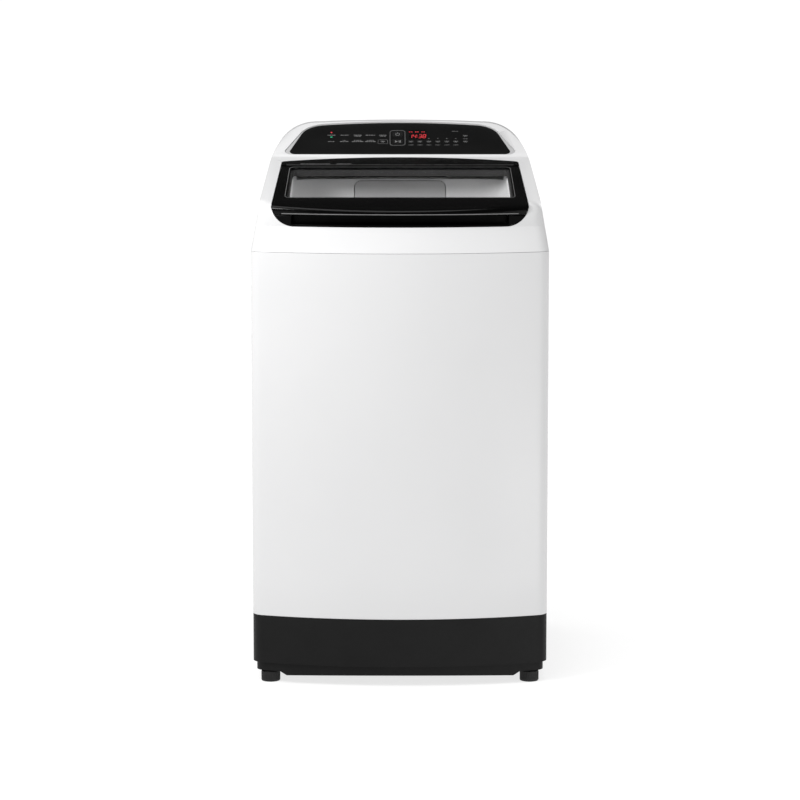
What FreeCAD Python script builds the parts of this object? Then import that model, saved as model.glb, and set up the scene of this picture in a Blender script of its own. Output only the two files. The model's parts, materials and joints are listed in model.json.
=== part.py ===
"""Top load washing machine: one STEP file per separate physical piece, in millimetres.

The origin is on the floor, under the middle of the machine's outer box. +X is the user's right,
+Y points from the front to the rear wall, and +Z is up.
"""
import FreeCAD
import Part
import math
import os

# ---- driving dimensions (mm) ----
WIDTH = 540.0            # across the cabinet sides
DEPTH = 568.0            # from the middle of the bowed front to the rear cover
FRONT_Y = -DEPTH / 2
REAR_Y = DEPTH / 2
HALF_W = WIDTH / 2
BOW_R = 800.0            # plan radius of the bowed front
CORNER_R = 26.0          # vertical front corners
CABINET_BOTTOM = 126.0   # joint between the black plinth and the painted cabinet
CABINET_TOP = 794.0      # joint between the cabinet and the top cover
CREST_Z = 1006.0         # highest line of the console
SHEET = 1.2              # painted steel sheet
WALL = 3.0               # moulded plastic wall
CHIN_Z = 838.5           # lower edge of the black handle recess
CHIN_BACK = 27.0         # how far the cover's front leans back up to the handle recess
LIP_Z = 860.0            # underside of the lid's nose
NOSE_Y = -245.0          # where the flat top of the lid begins
NOSE_Z = 871.0
LID_SLOPE = math.degrees(math.atan2(71.5, 345.0))
NOSE_RADIUS = 9.0        # rounding of the lid's nose
SHOULDER_RADIUS = 28.0   # softer rounding of the cover beside the lid
PANEL_Y = 112.0          # lower edge of the console panel
PANEL_Z = 949.0
PANEL_SLOPE = math.degrees(math.atan2(54.0, 108.0))
PANEL_LENGTH = 120.7
LID_THICKNESS = 16.0
LID_GAP = 1.5
GLASS = 4.0
TUB_R = 243.0
TUB_BOTTOM = 205.0
TUB_TOP = 690.0
BASKET_R = 218.0
BASKET_BOTTOM = 236.0
BASKET_TOP = 668.0
ROD_X = 228.0            # suspension rods stand in the four corners
ROD_Y = 212.0
FOOT_R = 17.5
KEY_TRAVEL = 0.8

V = FreeCAD.Vector
X_AXIS = V(1, 0, 0)
Y_AXIS = V(0, 1, 0)
Z_AXIS = V(0, 0, 1)


# ---- small helpers ----
def box(x0, x1, y0, y1, z0, z1):
    return Part.makeBox(x1 - x0, y1 - y0, z1 - z0, V(x0, y0, z0))


def cylinder(radius, z0, z1, x=0.0, y=0.0):
    return Part.makeCylinder(radius, z1 - z0, V(x, y, z0), Z_AXIS)


def tube(outer, inner, z0, z1, x=0.0, y=0.0):
    return cylinder(outer, z0, z1, x, y).cut(cylinder(inner, z0 - 1, z1 + 1, x, y))


def bar(radius, start, end):
    direction = end.sub(start)
    return Part.makeCylinder(radius, direction.Length, start, direction)


def hexagon(across_flats, z0, z1, x=0.0, y=0.0):
    corner = across_flats / math.sqrt(3.0)
    points = [V(x + corner * math.cos(math.radians(60 * k)), y + corner * math.sin(math.radians(60 * k)), z0)
              for k in range(7)]
    return Part.Face(Part.makePolygon(points)).extrude(V(0, 0, z1 - z0))


def rounded_box(x0, x1, y0, y1, z0, z1, radius):
    """A box with rounded vertical edges."""
    body = box(x0, x1, y0, y1, z0, z1)
    upright = [e for e in body.Edges if abs(e.tangentAt(e.FirstParameter).z) > 0.9]
    return body.makeFillet(radius, upright)


def union(shapes):
    shapes = list(shapes)
    return shapes[0].multiFuse(shapes[1:]).removeSplitter() if len(shapes) > 1 else shapes[0]


def group(shapes):
    """Separate solids that share one node, such as identical fasteners."""
    return Part.makeCompound(list(shapes))


def mirrored(shape):
    return shape.mirror(V(0, 0, 0), X_AXIS)


def save(name, shape):
    for solid in shape.Solids:
        if not solid.isValid():
            print("NOT VALID", name)
    if len(shape.Solids) > 1 and shape.ShapeType != "Compound":
        print("several solids in", name)
    if not shape.Solids:
        print("EMPTY", name)
        return
    result = Part.makeCompound(shape.Solids) if len(shape.Solids) > 1 else shape.Solids[0]
    result.exportStep("parts/" + name + ".step")


# ---- outlines of the outer body ----
def bowed_outline(half_width, front_y, rear_y, z, corner=CORNER_R):
    """Closed plan outline: bowed front, rounded front corners, straight sides and rear."""
    bow_centre = V(0, front_y + BOW_R, z)
    corner_x = half_width - corner
    reach = math.sqrt((BOW_R - corner) ** 2 - corner_x ** 2)
    centre = V(corner_x, bow_centre.y - reach, z)
    outward = centre.sub(bow_centre).normalize()
    on_bow = bow_centre.add(outward * BOW_R)
    half_way = X_AXIS.add(outward).normalize()
    on_corner = centre.add(half_way * corner)
    on_side = centre.add(X_AXIS * corner)
    left = [V(-p.x, p.y, p.z) for p in (on_side, on_corner, on_bow)]
    rear_right = V(half_width, rear_y, z)
    rear_left = V(-half_width, rear_y, z)
    edges = [
        Part.LineSegment(rear_left, left[0]).toShape(),
        Part.Arc(left[0], left[1], left[2]).toShape(),
        Part.Arc(left[2], V(0, front_y, z), on_bow).toShape(),
        Part.Arc(on_bow, on_corner, on_side).toShape(),
        Part.LineSegment(on_side, rear_right).toShape(),
        Part.LineSegment(rear_right, rear_left).toShape(),
    ]
    return Part.Wire(edges)


def bowed_prism(inset, z0, z1, rear_y=None):
    rear = REAR_Y - inset if rear_y is None else rear_y
    face = Part.Face(bowed_outline(HALF_W - inset, FRONT_Y + inset, rear, z0, CORNER_R - inset))
    return face.extrude(V(0, 0, z1 - z0))


def loaf(inset):
    """The front-view outline of the cover, as a prism that runs from front to rear."""
    low = CABINET_TOP - 1
    points = [V(HALF_W, 0, low), V(246.0, 0, 936.0), V(225.0, 0, 975.0), V(160.0, 0, 1002.0), V(0, 0, CREST_Z)]
    left = [V(-p.x, 0, p.z) for p in points]
    edges = [
        Part.LineSegment(left[1], left[0]).toShape(),
        Part.LineSegment(left[0], points[0]).toShape(),
        Part.LineSegment(points[0], points[1]).toShape(),
        Part.Arc(points[1], points[2], points[3]).toShape(),
        Part.Arc(points[3], points[4], left[3]).toShape(),
        Part.Arc(left[3], left[2], left[1]).toShape(),
    ]
    outline = Part.Wire(edges)
    if inset:
        outline = outline.makeOffset2D(-inset)
    return Part.Face(outline).extrude(V(0, 800, 0)).translated(V(0, -400, 0))


def top_profile(inset):
    """The side-view outline of the cover, as a prism that runs across the machine."""
    points = [V(0, -330, NOSE_Z - (330 + NOSE_Y) * math.tan(math.radians(LID_SLOPE))), V(0, 104.0, 943.3),
              V(0, 109.0, 945.6), V(0, PANEL_Y, PANEL_Z), V(0, 220.0, 1003.0), V(0, 243.0, 1008.0),
              V(0, REAR_Y, 985.0), V(0, REAR_Y, 780.0), V(0, -330, 780.0)]
    edges = [Part.LineSegment(points[0], points[1]).toShape(),
             Part.LineSegment(points[1], points[3]).toShape(),
             Part.LineSegment(points[3], points[4]).toShape(),
             Part.Arc(points[4], points[5], points[6]).toShape()]
    edges += [Part.LineSegment(points[k], points[k + 1]).toShape() for k in (6, 7)]
    edges.append(Part.LineSegment(points[8], points[0]).toShape())
    outline = Part.Wire(edges)
    if inset:
        outline = outline.makeOffset2D(-inset)
    return Part.Face(outline).extrude(V(800, 0, 0)).translated(V(-400, 0, 0))


def leaning_body(inset):
    """The cover's bowed front and leaning sides, before the top is shaped."""
    levels = [(CABINET_TOP, HALF_W, FRONT_Y), (CHIN_Z, 264.0, FRONT_Y + CHIN_BACK),
              (1012.0, 234.0, FRONT_Y + CHIN_BACK)]
    wires = [bowed_outline(half - inset, front + inset, REAR_Y - inset, z, CORNER_R + 4 - inset)
             for z, half, front in levels]
    return Part.makeLoft(wires, True, True)


def outer_body(inset):
    return leaning_body(inset).common(top_profile(inset)).common(loaf(inset))


def rounded_outer_body(radius, inset=0.0):
    """The cover's outer shape, or a smaller copy of it, with its nose rounded."""
    body = outer_body(inset)
    nose = [e for e in body.Edges if e.Length > 400 and e.BoundBox.YMax < -200
            and 860.0 < e.BoundBox.ZMin and e.BoundBox.ZMax < 880.0]
    return body.makeFillet(radius, nose)


# ---- local frames: the lid's slope and the console's slope ----
def on_lid(shape):
    """From (across, along the slope, out of the slope) to the machine's frame."""
    return shape.rotated(V(0, 0, 0), X_AXIS, LID_SLOPE).translated(V(0, NOSE_Y, NOSE_Z))


def on_panel(shape):
    return shape.rotated(V(0, 0, 0), X_AXIS, PANEL_SLOPE).translated(V(0, PANEL_Y, PANEL_Z))


def fillet_upright(body, radius, chosen=lambda edge: True):
    upright = [e for e in body.Edges if abs(e.tangentAt(e.FirstParameter).z) > 0.99 and chosen(e)]
    return body.makeFillet(radius, upright)


def tapered_prism(half_front, s_front, half_rear, s_rear, n0, n1, radius=0.0):
    """A trapezoid in the slope's own plane, with rounded corners."""
    points = [V(-half_front, s_front, n0), V(half_front, s_front, n0), V(half_rear, s_rear, n0),
              V(-half_rear, s_rear, n0), V(-half_front, s_front, n0)]
    body = Part.Face(Part.makePolygon(points)).extrude(V(0, 0, n1 - n0))
    return fillet_upright(body, radius) if radius else body


LID_HALF_FRONT = 234.0   # half width of the black field at the lid's nose
LID_HALF_REAR = 223.0
FIELD_END = 352.3        # the black field's rear edge, along the slope, in the middle
FIELD_END_SIDE = 322.7   # the same at its corners
BAND_START = 296.5       # front edge of the fixed band behind the lid
HINGE_S = 286.5
HINGE_N = -7.0
BARREL_R = 6.5
WINDOW_S = (77.6, 279.8)
WINDOW_HALF = (207.0, 204.5)
RECESS_CORNER = 42.0     # lower corners of the handle recess, seen from the front


def side_at(s):
    return LID_HALF_FRONT + (LID_HALF_REAR - LID_HALF_FRONT) * s / FIELD_END


def black_field(grow, n0, n1):
    """The sloping field of the lid and its trim band, open to the front."""
    front = side_at(-60.0) + grow
    rear = side_at(FIELD_END_SIDE) + grow
    edges = [
        Part.LineSegment(V(-front, -60, n0), V(front, -60, n0)).toShape(),
        Part.LineSegment(V(front, -60, n0), V(rear, FIELD_END_SIDE + grow, n0)).toShape(),
        Part.Arc(V(rear, FIELD_END_SIDE + grow, n0), V(0, FIELD_END + grow, n0),
                 V(-rear, FIELD_END_SIDE + grow, n0)).toShape(),
        Part.LineSegment(V(-rear, FIELD_END_SIDE + grow, n0), V(-front, -60, n0)).toShape(),
    ]
    body = Part.Face(Part.Wire(edges)).extrude(V(0, 0, n1 - n0))
    return on_lid(fillet_upright(body, 10.0 + grow, lambda e: e.BoundBox.YMin > 0))


def recess_front(grow):
    """Front-view outline of the black field: a wide block with rounded lower corners."""
    body = box(-LID_HALF_FRONT - grow, LID_HALF_FRONT + grow, -400, 300, CHIN_Z - grow, 1100)
    lower = [e for e in body.Edges if abs(e.tangentAt(e.FirstParameter).y) > 0.99 and e.BoundBox.ZMax < 900]
    return body.makeFillet(RECESS_CORNER + grow, lower)


def window_prism(grow, n0, n1, rear_grow=None):
    rear = grow if rear_grow is None else rear_grow
    return on_lid(tapered_prism(WINDOW_HALF[0] + grow, WINDOW_S[0] - grow, WINDOW_HALF[1] + grow,
                                WINDOW_S[1] + rear, n0, n1, 8.0))


def opening_prism(inset, z0, z1):
    """The wash opening through the cover, above the basket."""
    return rounded_box(-204 + inset, 204 - inset, -200 + inset, 95 - inset, z0, z1, 60 - inset)


LEDGE_TOP = -18.0        # ledge that the lid closes onto, below the slope
LEDGE = 3.0
POCKET_BACK = -212.0     # rear of the handle recess
SKIRT_Z = 909.0          # lower edge of the cover's skirt above the drawer
COLLAR_TOP_REAR = 902.0
DRAWER = dict(half=86.0, bottom=842.0, top=898.0, corner=13.0)


def lid_axis_point():
    slope = math.radians(LID_SLOPE)
    y = NOSE_Y + HINGE_S * math.cos(slope) - HINGE_N * math.sin(slope)
    z = NOSE_Z + HINGE_S * math.sin(slope) + HINGE_N * math.cos(slope)
    return V(0, y, z)


# ---- top cover and what is fixed in it ----
def panel_outline(half_low, half_high, low, grow):
    """Outline of the console panel: straight below, leaning sides and an arched top."""
    corner = 10.0 + grow
    points = [V(half_low - corner, low, 0), V(half_low - corner * 0.25, low + corner * 0.3, 0),
              V(half_low, low + corner + 4, 0), V(half_high, 78.0, 0), V(175.0 + grow, 99.0, 0),
              V(146.0, 111.5 + grow, 0), V(0, PANEL_LENGTH + grow, 0)]
    left = [V(-p.x, p.y, 0) for p in points]
    edges = [
        Part.LineSegment(left[0], points[0]).toShape(),
        Part.Arc(points[0], points[1], points[2]).toShape(),
        Part.LineSegment(points[2], points[3]).toShape(),
        Part.Arc(points[3], points[4], points[5]).toShape(),
        Part.Arc(points[5], points[6], left[5]).toShape(),
        Part.Arc(left[5], left[4], left[3]).toShape(),
        Part.LineSegment(left[3], left[2]).toShape(),
        Part.Arc(left[2], left[1], left[0]).toShape(),
    ]
    return Part.Face(Part.Wire(edges))


def panel_prism(n0, n1, grow=0.0):
    return on_panel(panel_outline(209.5 + grow, 189.0 + grow, 0.0 - grow, grow).extrude(V(0, 0, n1 - n0))
                    .translated(V(0, 0, n0)))


def bezel_prism(n0, n1, grow=0.0):
    return on_panel(panel_outline(219.0 + grow, 191.5 + grow, -3.0 - grow, 2.0 + grow)
                    .extrude(V(0, 0, n1 - n0)).translated(V(0, 0, n0)))


INLET_X = (-165.0, -105.0)
INLET_Z = 925.0
INLET_R = 13.2           # three-quarter inch hose thread
INLET_NECK_R = 12.0
INLET_LENGTH = 26.0
INLET_POCKET = 255.0     # bottom of the recess that the inlets stand in


def make_top_cover(outer):
    cavity = rounded_outer_body(SHOULDER_RADIUS - WALL, WALL)
    shell = outer.cut(cavity).cut(cavity.translated(V(0, 0, -2 * WALL)))
    shell = shell.common(box(-300, 300, -300, 300, CABINET_TOP, 1100))
    front = recess_front(0.0)
    field = black_field(0.0, LEDGE_TOP, 80).common(front)
    wall = black_field(WALL, LEDGE_TOP - LEDGE, 80).common(recess_front(WALL)).common(outer)
    wall = wall.cut(box(-300, 300, -400, POCKET_BACK + 2, 700, 1100))
    pocket = box(-300, 300, -400, POCKET_BACK, CHIN_Z, 1100).common(front)
    skirt = box(-200, 200, 95, 98, SKIRT_Z, 930).cut(on_lid(box(-300, 300, 0, 500, LEDGE_TOP, 100)))
    cover = shell.fuse([wall, skirt]).cut([field, pocket])
    below_slope = on_lid(box(-300, 300, -100, 500, -300, LEDGE_TOP + 0.5))
    cover = cover.cut(opening_prism(0.0, 700, 1100).common(below_slope))
    recess = box(-200, -70, INLET_POCKET, 300, 896, 954)
    recess_wall = box(-203, -67, INLET_POCKET - WALL, REAR_Y, 893, 957)
    cover = cover.fuse(recess_wall.common(outer)).cut(recess)
    for x in INLET_X:
        cover = cover.cut(Part.makeCylinder(INLET_NECK_R + 0.3, 20, V(x, 240, INLET_Z), Y_AXIS))
    cover = cover.cut(bezel_prism(-30, 30, 0.3))
    axis = lid_axis_point()
    for side in (-1, 1):
        block = box(226.0, 241.0, axis.y - 8, axis.y + 8, axis.z - 9, axis.z + 7)
        block = block if side > 0 else mirrored(block)
        cover = cover.fuse(block.common(outer))
    cover = cover.cut(Part.makeCylinder(3.02, 600, V(-300, axis.y, axis.z), X_AXIS)
                      .common(box(-239, 239, -400, 400, 0, 1200)))
    return cover.removeSplitter()


def drawer_block(grow, y0, y1):
    """The outline of the drawer's front, with rounded upper corners, as a block."""
    half, top = DRAWER["half"] + grow, DRAWER["top"] + grow
    block = box(-half, half, y0, y1, DRAWER["bottom"] - grow, top)
    upper = [e for e in block.Edges
             if abs(e.tangentAt(e.FirstParameter).y) > 0.99 and e.BoundBox.ZMin > top - 1]
    return block.makeFillet(DRAWER["corner"] + grow, upper)


def make_collar():
    """Grey lining of the wash opening, from the ledge down to the tub."""
    lining = opening_prism(0.3, 748, 1000).cut(opening_prism(2.8, 700, 1001))
    floor = opening_prism(0.3, 745, 748).cut(cylinder(198, 700, 800).common(opening_prism(14, 700, 800)))
    collar = lining.fuse(floor)
    collar = collar.cut(on_lid(box(-300, 300, -100, 500, LEDGE_TOP - LEDGE - 0.3, 300)))
    collar = collar.cut(box(-300, 300, 60, 200, COLLAR_TOP_REAR, 1100))
    return collar.cut(drawer_block(1.2, 80, 110)).removeSplitter()


def make_handle_trim(outer):
    block = outer.common(recess_front(-0.3)).common(box(-300, 300, -400, POCKET_BACK, CHIN_Z, LIP_Z - 1.5))
    finger_room = rounded_box(-196, 196, -400, POCKET_BACK - 4, CHIN_Z + 4, 900, 12)
    return block.cut(finger_room)


def make_trim_band(outer):
    """Fixed black band between the lid and the console, with a bowed rear edge."""
    band = black_field(-0.3, -14.0, 80).common(outer)
    band = band.cut(on_lid(box(-300, 300, -100, BAND_START, -60, 90)))
    hollow = black_field(-3.3, -40.0, -3.0).cut(on_lid(box(-300, 300, -100, BAND_START + 3, -60, 90)))
    return band.cut(hollow)


def make_lid(outer):
    axis = lid_axis_point()
    body = outer.common(black_field(-LID_GAP, -LID_THICKNESS, 80)).common(recess_front(-LID_GAP))
    body = body.cut(box(-300, 300, -400, -150, 0, LIP_Z))
    body = body.cut(on_lid(box(-300, 300, HINGE_S, 500, -60, 90)))
    rail_half = side_at(HINGE_S) - LID_GAP
    barrel = Part.makeCylinder(BARREL_R, 2 * rail_half, V(-rail_half, axis.y, axis.z), X_AXIS)
    body = body.fuse(barrel).cut(on_lid(box(-300, 300, HINGE_S - 12, 500, -60, HINGE_N - BARREL_R)))
    for start in (-rail_half - 1, rail_half - 12):
        body = body.cut(Part.makeCylinder(3.05, 13, V(start, axis.y, axis.z), X_AXIS))
    frame = body.cut([window_prism(0.0, -40, 40), window_prism(7.5, -40, -1.0, 2.5)])
    glass = window_prism(7.2, -1.0 - GLASS, -1.0, 2.2)
    inner = window_prism(7.2, -LID_THICKNESS, -1.0 - GLASS, 2.2).cut(window_prism(-3.0, -40, 40))
    return frame.removeSplitter(), glass, inner.removeSplitter()


def make_hinge_pins():
    axis = lid_axis_point()
    rail_half = side_at(HINGE_S) - LID_GAP
    return group(Part.makeCylinder(3.0, 26, V(start, axis.y, axis.z), X_AXIS)
                 for start in (-rail_half - 15, rail_half - 11))


def make_bumpers():
    spots = [(side * 219.0, s) for side in (-1, 1) for s in (60.0, 240.0)]
    return group(on_lid(cylinder(4.5, LEDGE_TOP, -LID_THICKNESS - 0.1, x, s)) for x, s in spots)


def make_lid_sensor():
    return on_lid(rounded_box(207, 227, 120, 165, LEDGE_TOP - LEDGE - 22, LEDGE_TOP - LEDGE - 0.2, 3))


# ---- console ----
PANEL_FACE = -2.0
PANEL_BACK = -5.0
KEY_FACE = -1.6
KEY_ROW = 48.0
KEYS = {
    "power_key": (-4.6, 76.0), "start_key": (-4.6, 48.0), "course_key": (-33.0, KEY_ROW),
    "option_key_1": (21.0, KEY_ROW), "option_key_2": (38.2, KEY_ROW), "option_key_3": (55.4, KEY_ROW),
    "option_key_4": (72.6, KEY_ROW), "option_key_5": (89.8, KEY_ROW), "option_key_6": (107.0, KEY_ROW),
    "delay_key": (125.5, 70.0), "child_lock_key": (125.5, KEY_ROW),
}
KEY_HALF = {"power_key": (10.0, 9.0), "start_key": (10.0, 9.0)}
SMALL_KEY = (6.0, 5.0)
DISPLAY = (17.0, 52.0, 57.0, 92.0)


def key_prism(name, grow, n0, n1):
    x, t = KEYS[name]
    half_x, half_t = KEY_HALF.get(name, SMALL_KEY)
    return on_panel(rounded_box(x - half_x - grow, x + half_x + grow, t - half_t - grow, t + half_t + grow,
                                n0, n1, 2.0 + grow))


def display_prism(grow, n0, n1):
    x0, x1, t0, t1 = DISPLAY
    return on_panel(rounded_box(x0 - grow, x1 + grow, t0 - grow, t1 + grow, n0, n1, 2.0 + grow))


def make_console():
    panel = panel_prism(PANEL_BACK, PANEL_FACE)
    panel = panel.cut([key_prism(name, 0.3, -20, 20) for name in KEYS] + [display_prism(0.1, -20, 20)])
    save("console_panel", panel)
    save("console_bezel", bezel_prism(-9.0, -1.5).cut(panel_prism(-6.0, 20, 0.3))
         .cut(panel_prism(-20, 20, -6.0)))
    save("display_window", display_prism(0.0, PANEL_BACK, PANEL_FACE - 0.2))
    for name in KEYS:
        save(name, key_prism(name, 0.0, PANEL_BACK, KEY_FACE))
    save("control_board", on_panel(rounded_box(-150, 150, 22, 104, -14.0, -12.4, 4)))


# ---- detergent drawer ----
DRAWER_Y = 93.0
DRAWER_END = 222.0


def make_drawer():
    half, low, high = DRAWER["half"], DRAWER["bottom"], DRAWER["top"]
    front = drawer_block(0.0, DRAWER_Y, DRAWER_Y + 4)
    tray = box(-half + 5, half - 5, DRAWER_Y + 4, DRAWER_END, low + 3, high - 8)
    for x0, x1 in ((-half + 7, 10.0), (12.0, half - 7)):
        tray = tray.cut(box(x0, x1, DRAWER_Y + 6, DRAWER_END - 2, low + 5, high))
    return front.fuse(tray)


def make_drawer_housing():
    half, low, high = DRAWER["half"] + 1.5, DRAWER["bottom"] - 2, DRAWER["top"] + 3
    shell = box(-half - 2, half + 2, 98.6, DRAWER_END + 6, low - 3, high + 3)
    shell = shell.cut(box(-half, half, 90, DRAWER_END + 3, low, high))
    spout = box(-30, 30, DRAWER_END - 30, DRAWER_END, low - 30, low - 3)
    inlet = box(INLET_X[0] - 12, -half - 2, 196, 214, high - 20, high - 2)
    return union([shell, spout, inlet]).cut(box(-26, 26, DRAWER_END - 26, DRAWER_END - 4, low - 40, low + 1))


def make_inlet_valves():
    body = rounded_box(INLET_X[0] - 22, INLET_X[1] + 22, 218, INLET_POCKET - WALL - 0.5, 905, 945, 4)
    stubs = [Part.makeCylinder(INLET_R, INLET_LENGTH, V(x, INLET_POCKET + 1, INLET_Z), Y_AXIS) for x in INLET_X]
    stubs += [Part.makeCylinder(INLET_NECK_R, 16, V(x, 245, INLET_Z), Y_AXIS) for x in INLET_X]
    coils = [Part.makeCylinder(12, 36, V(x, 232, 870), Z_AXIS) for x in INLET_X]
    feed = box(INLET_X[0] - 10, INLET_X[0] + 10, 198, 220, DRAWER["top"] + 5, 920)
    valve = union([body, feed] + stubs + coils)
    for x in INLET_X:
        valve = valve.cut(Part.makeCylinder(9.5, 30, V(x, 256, INLET_Z), Y_AXIS))
    return valve


# ---- cabinet and base ----
REAR_SHEET_Y = 256.0


def make_cabinet():
    shell = bowed_prism(0.0, CABINET_BOTTOM, CABINET_TOP).cut(bowed_prism(SHEET, 0, 900, REAR_Y + 10))
    flange = box(246, HALF_W - SHEET, REAR_SHEET_Y - SHEET, REAR_SHEET_Y, CABINET_BOTTOM, CABINET_TOP)
    return union([shell, flange, mirrored(flange)])


def make_rear_panel():
    return box(-HALF_W + SHEET + 0.2, HALF_W - SHEET - 0.2, REAR_SHEET_Y, REAR_SHEET_Y + SHEET,
               CABINET_BOTTOM + 1, CABINET_TOP - 1)


ACCESS = (-120.0, 120.0, 230.0, 560.0)
SPIGOT = (-170.0, 160.0)
GLAND = (190.0, 740.0)
GLAND_BORE_R = 4.2


def make_access_cover():
    x0, x1, z0, z1 = ACCESS
    face_y = REAR_SHEET_Y + SHEET
    plate = box(x0, x1, face_y, face_y + SHEET, z0, z1)
    raised = box(x0 + 20, x1 - 20, face_y, face_y + 7, z0 + 20, z1 - 20)
    hollow = box(x0 + 21.2, x1 - 21.2, face_y - 1, face_y + 5.8, z0 + 21.2, z1 - 21.2)
    return union([plate, raised]).cut(hollow)


FOOT_X = 238.0
FOOT_FRONT_Y = -222.0
FOOT_REAR_Y = 240.0
STEP_Z = 38.0            # where the plinth steps inwards
LIP_INSET = 6.8          # depth of that step
LIP_BOTTOM = 22.0        # lower edge of the plinth beside the feet
APRON_HALF = 208.0       # the front and rear aprons hang lower between the feet
APRON_BOTTOM = 15.0
APRON_ARCH = 5.5         # rise of the apron's lower edge in the middle


def foot_spots():
    return [(x, y) for y in (FOOT_FRONT_Y, FOOT_REAR_Y) for x in (-FOOT_X, FOOT_X)]


def apron_clearance():
    """Everything below the plinth's lower edge: an arch between the feet and a step beside them."""
    half, low = APRON_HALF, APRON_BOTTOM
    sweep = 12.0
    edges = [
        Part.Arc(V(-half, 0, low), V(0, 0, low + APRON_ARCH), V(half, 0, low)).toShape(),
        Part.LineSegment(V(half, 0, low), V(half + sweep, 0, LIP_BOTTOM)).toShape(),
        Part.LineSegment(V(half + sweep, 0, LIP_BOTTOM), V(300, 0, LIP_BOTTOM)).toShape(),
        Part.LineSegment(V(300, 0, LIP_BOTTOM), V(300, 0, -10)).toShape(),
        Part.LineSegment(V(300, 0, -10), V(-300, 0, -10)).toShape(),
        Part.LineSegment(V(-300, 0, -10), V(-300, 0, LIP_BOTTOM)).toShape(),
        Part.LineSegment(V(-300, 0, LIP_BOTTOM), V(-half - sweep, 0, LIP_BOTTOM)).toShape(),
        Part.LineSegment(V(-half - sweep, 0, LIP_BOTTOM), V(-half, 0, low)).toShape(),
    ]
    return Part.Face(Part.Wire(edges)).extrude(V(0, 800, 0)).translated(V(0, -400, 0))


def make_plinth():
    cavity = bowed_prism(LIP_INSET + WALL, 0, 200, REAR_Y - LIP_INSET - WALL)
    upper = bowed_prism(0.3, STEP_Z, CABINET_BOTTOM - 0.2, REAR_Y)
    upper = upper.cut(bowed_prism(0.3 + WALL, 0, 200, REAR_Y - WALL))
    lower = bowed_prism(LIP_INSET, 10, STEP_Z + WALL, REAR_Y - LIP_INSET).cut(cavity)
    step = bowed_prism(0.3, STEP_Z, STEP_Z + WALL, REAR_Y).cut(cavity)
    inside = bowed_prism(1.0, STEP_Z, 100, REAR_Y)
    bosses = [box(x - 24, x + 24, y - 24, y + 24, STEP_Z, 78).common(inside) for x, y in foot_spots()]
    beams = [box(-FOOT_X, FOOT_X, y - 10, y + 10, 44, 62) for y in (FOOT_FRONT_Y + 10, FOOT_REAR_Y - 10)]
    ledge_top = CABINET_BOTTOM - 0.2
    ledge = bowed_prism(1.0, ledge_top - WALL, ledge_top, REAR_Y - 1.0)
    ledge = ledge.common(box(-300, 300, REAR_SHEET_Y - 4, REAR_Y, 0, 200))
    plinth = union([upper, lower, step, ledge] + bosses + beams).cut(apron_clearance())
    sides = box(-300, 300, FOOT_FRONT_Y + 40, FOOT_REAR_Y - 40, 0, LIP_BOTTOM)
    plinth = plinth.cut(sides)
    for x, y in foot_spots():
        plinth = plinth.cut(cylinder(5.05, 0, 100, x, y))
    return plinth.removeSplitter()


def make_foot(x, y):
    """A rubber pad on a threaded stud."""
    pad = cylinder(FOOT_R, 0, 20, x, y)
    pad = pad.makeFillet(2.0, [e for e in pad.Edges if e.BoundBox.ZMax < 1])
    pad = pad.fuse(Part.makeCone(FOOT_R, 9, 5, V(x, y, 20)))
    return pad.fuse(cylinder(5.0, 18, 72, x, y)).removeSplitter()


def make_locknuts():
    nuts = [hexagon(17, STEP_Z - 8.2, STEP_Z - 0.2, x, y).cut(cylinder(5.3, 0, 100, x, y))
            for x, y in foot_spots()]
    x0, x1, z0, z1 = ACCESS
    heads_y = REAR_SHEET_Y + 2 * SHEET
    access = [(x, z) for x in (x0 + 9, x1 - 9) for z in (z0 + 9, (z0 + z1) / 2, z1 - 9)]
    corner = [(side * 258.0, z) for side in (-1, 1) for z in (150.0, 460.0, 770.0)]
    screws = [Part.makeCylinder(4, 2.4, V(x, heads_y, z), Y_AXIS) for x, z in access]
    screws += [Part.makeCylinder(4, 2.4, V(x, heads_y - SHEET, z), Y_AXIS) for x, z in corner]
    return group(nuts + screws)


def make_corner_brackets():
    inside = bowed_prism(SHEET + 0.3, 700, 900, REAR_SHEET_Y - SHEET - 0.3)
    brackets = []
    for x, y in rod_spots():
        inner, outer = (y - 26, y + 60) if y > 0 else (y - 60, y + 26)
        plate = box(x - 38, x + 38, inner, outer, 762, 766)
        brackets.append(plate.common(inside).cut(cylinder(4.5, 700, 800, x, y)))
    return group(brackets)


# ---- suspension ----
EAR_Z = (250.0, 256.0)
SPRING = dict(bottom=190.0, top=249.0, radius=10.0, wire=1.8, pitch=9.0)


def rod_spots():
    return [(x, y) for y in (-ROD_Y, ROD_Y) for x in (-ROD_X, ROD_X)]


def make_rods():
    rods = []
    for x, y in rod_spots():
        ball = Part.makeSphere(9, V(x, y, 768)).common(box(x - 20, x + 20, y - 20, y + 20, 766, 790))
        rods.append(union([cylinder(3.0, 182, 768, x, y), ball, cylinder(12.0, 182, 189.7, x, y)]))
    return group(rods)


def make_springs():
    springs = []
    for x, y in rod_spots():
        height = SPRING["top"] - SPRING["bottom"] - SPRING["wire"]
        helix = Part.makeHelix(SPRING["pitch"], height - SPRING["wire"], SPRING["radius"])
        start = V(SPRING["radius"], 0, 0)
        section = Part.Wire(Part.makeCircle(SPRING["wire"], start, Y_AXIS))
        coil = Part.Wire(helix).makePipeShell([section], True, True)
        springs.append(coil.translated(V(x, y, SPRING["bottom"] + SPRING["wire"])))
    return group(springs)


def make_cups():
    return group(tube(17, 14.5, 212, EAR_Z[0], x, y).fuse(tube(17, 6, EAR_Z[0] - 0.8, EAR_Z[0], x, y))
                 for x, y in rod_spots())


# ---- tub, basket, drive ----
DRAIN_SPOT = (-150.0, 130.0)
DRAIN_R = 16.0


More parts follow.
